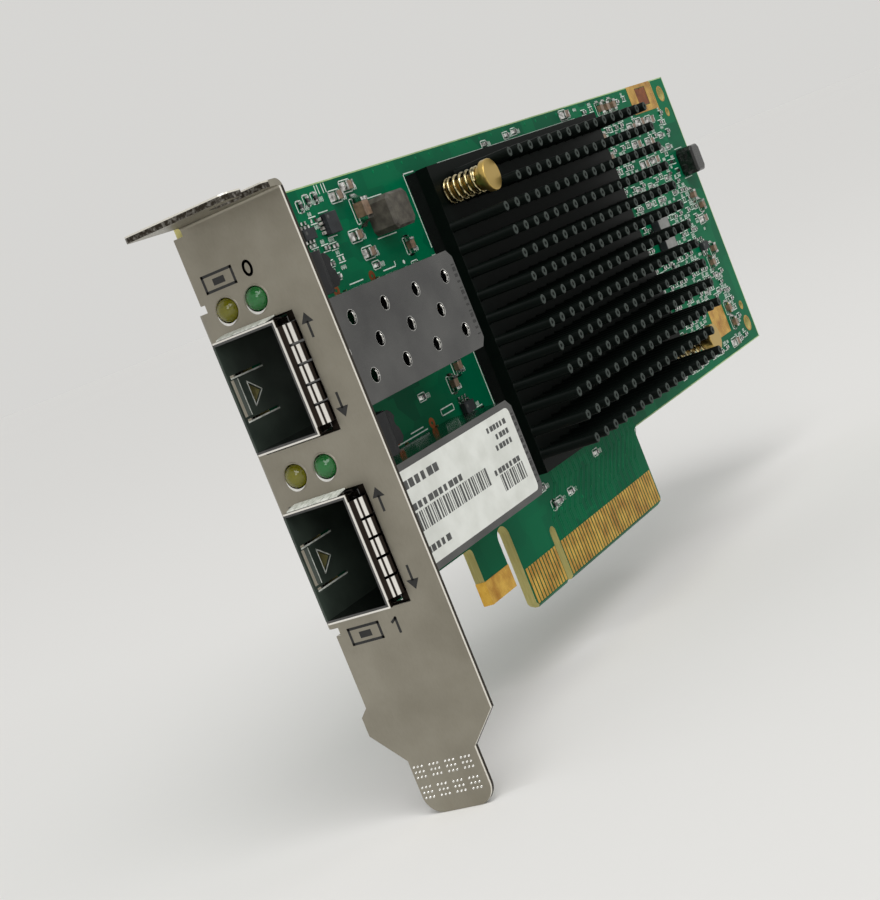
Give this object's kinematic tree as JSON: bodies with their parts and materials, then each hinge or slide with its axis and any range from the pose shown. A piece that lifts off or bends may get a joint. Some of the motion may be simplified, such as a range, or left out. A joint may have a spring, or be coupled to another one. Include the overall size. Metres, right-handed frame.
{
  "type": "fibre channel adapter",
  "caption": "Low-profile expansion card with a folded bracket, side-by-side module cages, port lights, a pin-fin heat sink and a gold card-edge tongue.",
  "frame": {"origin": "middle of the key slot on the lower edge of the contact tongue, in the mid-plane of the board", "axes": "+X from the bracket to the tail of the card, +Y from the component side to the solder side, +Z from the tongue to the upper edge"},
  "size_m": [0.1792, 0.0203, 0.0801],
  "materials": {
    "board_laminate": "green solder mask over glass laminate",
    "gold_plating": "hard gold plate",
    "bracket_steel": "satin nickel plate",
    "cage_metal": "rolled nickel silver",
    "spring_metal": "bright tin plate",
    "black_moulding": "fine moulded",
    "yellow_lens": "clear tinted",
    "green_lens": "clear tinted",
    "black_anodised": "black anodised",
    "substrate_laminate": "solder mask",
    "lid_metal": "nickel plate",
    "thermal_filler": "soft grey filler",
    "turned_brass": "turned",
    "tan_ceramic": "fired",
    "tinned_ends": "reflowed tin",
    "dark_ceramic": "glazed",
    "chip_moulding": "moulded epoxy",
    "inductor_moulding": "pressed powder",
    "label_paper": "matt"
  },
  "bodies": {
    "root": {"circuit_board": "board_laminate", "edge_contacts_front": "gold_plating", "edge_contacts_rear": "gold_plating", "ground_tab_plating": "gold_plating", "corner_pads": "gold_plating", "bracket": "bracket_steel", "bracket_rivets": "bracket_steel", "cage_shell_upper": "cage_metal", "cage_shell_lower": "cage_metal", "cage_floor_upper": "cage_metal", "cage_floor_lower": "cage_metal", "gasket_upper": "spring_metal", "gasket_lower": "spring_metal", "host_connector_upper": "black_moulding", "host_connector_lower": "black_moulding", "host_contacts_upper": "gold_plating", "host_contacts_lower": "gold_plating", "light_housing_upper": "black_moulding", "light_housing_lower": "black_moulding", "yellow_lights": "yellow_lens", "green_lights": "green_lens", "heatsink": "black_anodised", "controller_substrate": "substrate_laminate", "controller_lid": "lid_metal", "thermal_pad": "thermal_filler", "push_pins": "turned_brass", "push_pin_springs": "spring_metal", "capacitor_bodies": "tan_ceramic", "capacitor_terminals": "tinned_ends", "resistor_bodies": "dark_ceramic", "resistor_terminals": "tinned_ends", "chip_bodies": "chip_moulding", "chip_leads": "tinned_ends", "bracket_end_inductor": "inductor_moulding", "tail_inductor": "inductor_moulding", "cage_label": "label_paper"}
  },
  "joints": []
}
